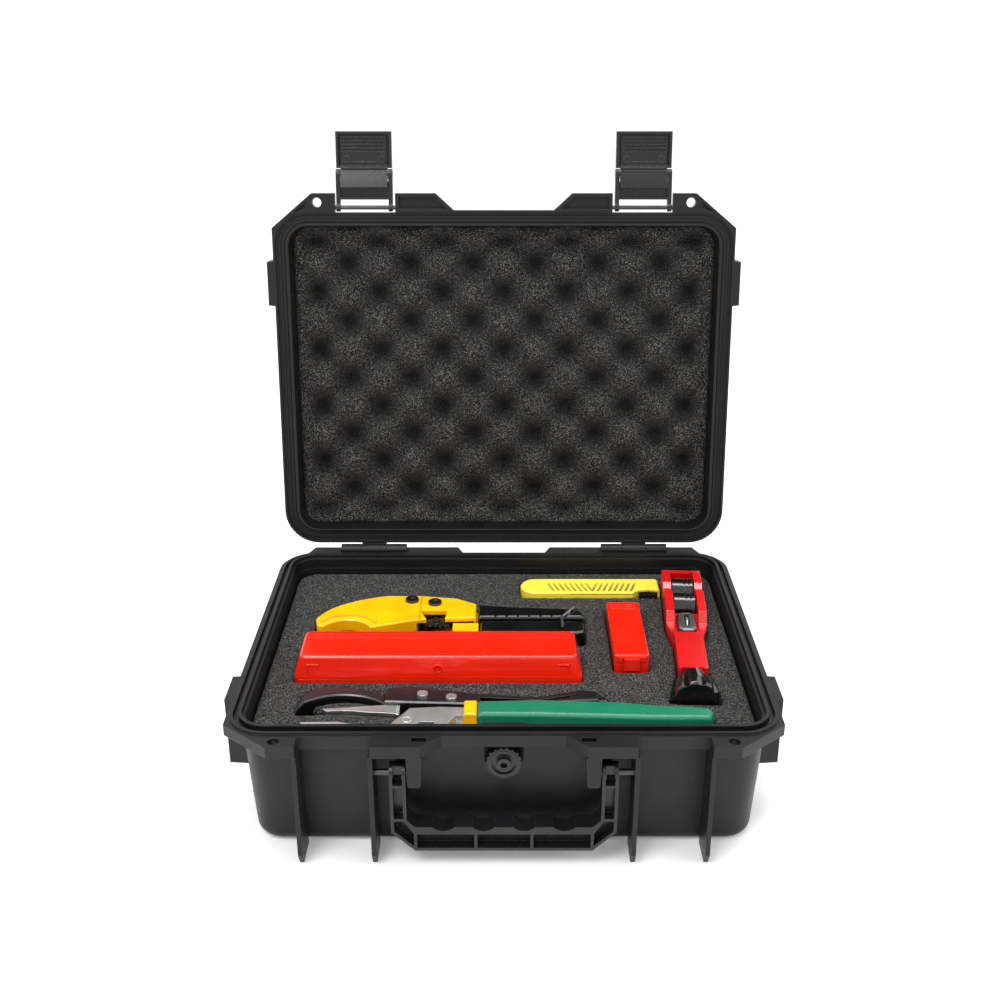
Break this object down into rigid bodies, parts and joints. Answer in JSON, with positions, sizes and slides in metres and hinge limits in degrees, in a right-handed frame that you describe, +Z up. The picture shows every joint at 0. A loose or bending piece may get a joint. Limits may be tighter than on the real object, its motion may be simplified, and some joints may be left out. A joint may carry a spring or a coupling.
{
  "type": "plumbing tool kit case",
  "caption": "Hard plastic carrying case with hinged lid, latches and folding handle, holding cutting and gripping hand tools in shaped foam pockets.",
  "frame": {"origin": "centre of the case's underside, on the face it rests on", "axes": "+X to the right seen from the latch side, +Y from the latches to the lid hinge, +Z up"},
  "size_m": [0.3496, 0.3404, 0.3984],
  "materials": {
    "case_plastic": "black textured polypropylene",
    "latch_plastic": "black semi-gloss polypropylene",
    "seal_rubber": "soft black seal",
    "foam": "open-cell charcoal foam",
    "pin_steel": "plain ground steel",
    "red_plastic": "glossy red",
    "yellow_plastic": "pale yellow, slightly glossy",
    "black_plastic": "glossy black",
    "blade_steel": "fine brushed steel",
    "red_metal": "red enamel on a casting",
    "grey_metal": "satin grey casting",
    "yellow_metal": "bright yellow paint",
    "dark_steel": "dark phosphate steel",
    "green_dip": "dipped green vinyl"
  },
  "bodies": {
    "case": {"base_shell": "case_plastic", "base_floor": "case_plastic", "base_rim": "case_plastic", "base_guards": "case_plastic", "lid_hinge_pins": "dark_steel", "handle_pins": "dark_steel", "valve_body": "latch_plastic", "valve_seal": "seal_rubber", "floor_pad": "foam", "base_foam": "foam"},
    "lid": {"lid_shell": "case_plastic", "lid_gasket": "seal_rubber", "lid_foam": "foam", "latch_pins": "dark_steel"},
    "latch_left_link": {"latch_left_link": "latch_plastic", "latch_left_lever_pin": "dark_steel"},
    "latch_right_link": {"latch_right_link": "latch_plastic", "latch_right_lever_pin": "dark_steel"},
    "latch_left_lever": {"latch_left_lever": "latch_plastic"},
    "latch_right_lever": {"latch_right_lever": "latch_plastic"},
    "carry_handle": {"carry_handle": "latch_plastic"},
    "valve_knob": {"valve_knob": "latch_plastic"},
    "red_case": {"red_case_tray": "red_plastic", "red_case_hinge_pin": "pin_steel"},
    "red_case_lid": {"red_case_lid": "red_plastic"},
    "small_box": {"small_box_tray": "red_plastic", "small_box_hinge_pin": "pin_steel"},
    "small_box_lid": {"small_box_lid": "red_plastic"},
    "knife": {"knife_body": "yellow_plastic"},
    "knife_blade": {"knife_blade": "blade_steel", "knife_slider": "black_plastic"},
    "tube_cutter": {"tube_cutter_frame": "red_metal", "tube_cutter_roller_pins": "pin_steel"},
    "tube_cutter_roller_front": {"tube_cutter_roller_front": "black_plastic"},
    "tube_cutter_roller_rear": {"tube_cutter_roller_rear": "black_plastic"},
    "tube_cutter_carriage": {"tube_cutter_carriage": "grey_metal", "tube_cutter_wheel_pin": "pin_steel"},
    "tube_cutter_wheel": {"tube_cutter_wheel": "blade_steel"},
    "tube_cutter_knob": {"tube_cutter_knob": "black_plastic", "tube_cutter_screw": "blade_steel"},
    "pvc_cutter": {"pvc_cutter_frame": "yellow_metal", "pvc_cutter_grip": "black_plastic", "pvc_cutter_bolts": "dark_steel", "pvc_cutter_ratchet": "dark_steel", "pvc_cutter_lock_loop": "pin_steel"},
    "pvc_cutter_lever": {"pvc_cutter_lever": "yellow_metal", "pvc_cutter_lever_grip": "black_plastic"},
    "pvc_cutter_blade": {"pvc_cutter_blade": "blade_steel"},
    "groove_pliers": {"groove_pliers_upper_half": "blade_steel", "groove_pliers_lower_half": "blade_steel", "groove_pliers_pivot": "blade_steel", "groove_pliers_upper_grip": "green_dip", "groove_pliers_lower_grip": "green_dip", "groove_pliers_upper_collar": "yellow_metal"},
    "locking_pliers": {"locking_pliers_body": "dark_steel", "locking_pliers_jaw": "dark_steel", "locking_pliers_lower_jaw": "blade_steel", "locking_pliers_lever": "dark_steel", "locking_pliers_rivets": "blade_steel"},
    "locking_pliers_screw": {"locking_pliers_screw": "dark_steel"}
  },
  "joints": [
    {"name": "lid_hinge", "type": "hinge", "parent": "case", "child": "lid", "pos_m": [0, 0.1327, 0.08655], "axis": [1, 0, 0], "range_deg": [0, 97.2]},
    {"name": "latch_left_link_hinge", "type": "hinge", "parent": "lid", "child": "latch_left_link", "pos_m": [-0.10175, 0.1696, 0.34557], "axis": [1, 0, 0], "range_deg": [0, 90]},
    {"name": "latch_left_lever_hinge", "type": "hinge", "parent": "latch_left_link", "child": "latch_left_lever", "pos_m": [-0.10175, 0.17641, 0.36829], "axis": [1, 0, 0], "range_deg": [-100, 0]},
    {"name": "latch_right_link_hinge", "type": "hinge", "parent": "lid", "child": "latch_right_link", "pos_m": [0.10175, 0.1696, 0.34557], "axis": [1, 0, 0], "range_deg": [0, 90]},
    {"name": "latch_right_lever_hinge", "type": "hinge", "parent": "latch_right_link", "child": "latch_right_lever", "pos_m": [0.10175, 0.17641, 0.36829], "axis": [1, 0, 0], "range_deg": [-100, 0]},
    {"name": "carry_handle_hinge", "type": "hinge", "parent": "case", "child": "carry_handle", "pos_m": [0, -0.1325, 0.065], "axis": [1, 0, 0], "range_deg": [-100, 0]},
    {"name": "valve_knob_turn", "type": "hinge", "parent": "case", "child": "valve_knob", "pos_m": [0, -0.12, 0.0653], "axis": [0, -1, 0], "range_deg": [0, 270]},
    {"name": "red_case_lift", "type": "slide", "parent": "case", "child": "red_case", "axis": [0, 0, -1], "range_m": [-0.06, 0]},
    {"name": "red_case_lid_hinge", "type": "hinge", "parent": "red_case", "child": "red_case_lid", "pos_m": [-0.0433, -0.0044, 0.0767], "axis": [1, 0, 0], "range_deg": [-90, 0]},
    {"name": "small_box_lift", "type": "slide", "parent": "case", "child": "small_box", "axis": [0, 0, -1], "range_m": [-0.04, 0]},
    {"name": "small_box_lid_hinge", "type": "hinge", "parent": "small_box", "child": "small_box_lid", "pos_m": [0.0855, 0.0487, 0.0794], "axis": [1, 0, 0], "range_deg": [-95, 0]},
    {"name": "knife_lift", "type": "slide", "parent": "case", "child": "knife", "axis": [0, 0, -1], "range_m": [-0.03, 0]},
    {"name": "knife_blade_slide", "type": "slide", "parent": "knife", "child": "knife_blade", "axis": [-1, 0, 0], "range_m": [0, 0.05]},
    {"name": "tube_cutter_lift", "type": "slide", "parent": "case", "child": "tube_cutter", "axis": [0, 0, -1], "range_m": [-0.04, 0]},
    {"name": "tube_cutter_roller_front_spin", "type": "hinge", "parent": "tube_cutter", "child": "tube_cutter_roller_front", "pos_m": [0.13189, 0.07354, 0.0794], "axis": [0.9981, -0.061, 0], "continuous": true},
    {"name": "tube_cutter_roller_rear_spin", "type": "hinge", "parent": "tube_cutter", "child": "tube_cutter_roller_rear", "pos_m": [0.13048, 0.05058, 0.0794], "axis": [0.9981, -0.061, 0], "continuous": true},
    {"name": "tube_cutter_knob_turn", "type": "hinge", "parent": "tube_cutter", "child": "tube_cutter_knob", "pos_m": [0.12469, -0.04414, 0.074], "axis": [0.061, 0.9981, 0], "range_deg": [0, 1150]},
    {"name": "tube_cutter_carriage_slide", "type": "slide", "parent": "tube_cutter", "child": "tube_cutter_carriage", "axis": [0.061, 0.9981, 0], "range_m": [0, 0.004]},
    {"name": "tube_cutter_wheel_spin", "type": "hinge", "parent": "tube_cutter_carriage", "child": "tube_cutter_wheel", "pos_m": [0.12868, 0.02114, 0.078], "axis": [0.9981, -0.061, 0], "continuous": true},
    {"name": "pvc_cutter_lift", "type": "slide", "parent": "case", "child": "pvc_cutter", "axis": [0, 0, -1], "range_m": [-0.04, 0]},
    {"name": "pvc_cutter_lever_hinge", "type": "hinge", "parent": "pvc_cutter", "child": "pvc_cutter_lever", "pos_m": [-0.05, 0.051, 0.071], "axis": [0, 0, 1], "range_deg": [-4, 0]},
    {"name": "pvc_cutter_blade_hinge", "type": "hinge", "parent": "pvc_cutter", "child": "pvc_cutter_blade", "pos_m": [-0.0668, 0.055, 0.071], "axis": [0, 0, 1], "range_deg": [0, 3.3]},
    {"name": "groove_pliers_lift", "type": "slide", "parent": "case", "child": "groove_pliers", "axis": [0, 0, -1], "range_m": [-0.05, 0]},
    {"name": "locking_pliers_lift", "type": "slide", "parent": "case", "child": "locking_pliers", "axis": [0, 0, -1], "range_m": [-0.04, 0]},
    {"name": "locking_pliers_screw_turn", "type": "hinge", "parent": "locking_pliers", "child": "locking_pliers_screw", "pos_m": [0.063, -0.0694, 0.07], "axis": [1, 0, 0], "continuous": true}
  ],
  "couplings": [
    {"joint": "tube_cutter_carriage_slide", "follows": "tube_cutter_knob_turn", "m_per_rad": 0.00019894},
    {"joint": "pvc_cutter_blade_hinge", "follows": "pvc_cutter_lever_hinge", "ratio": -0.8}
  ]
}
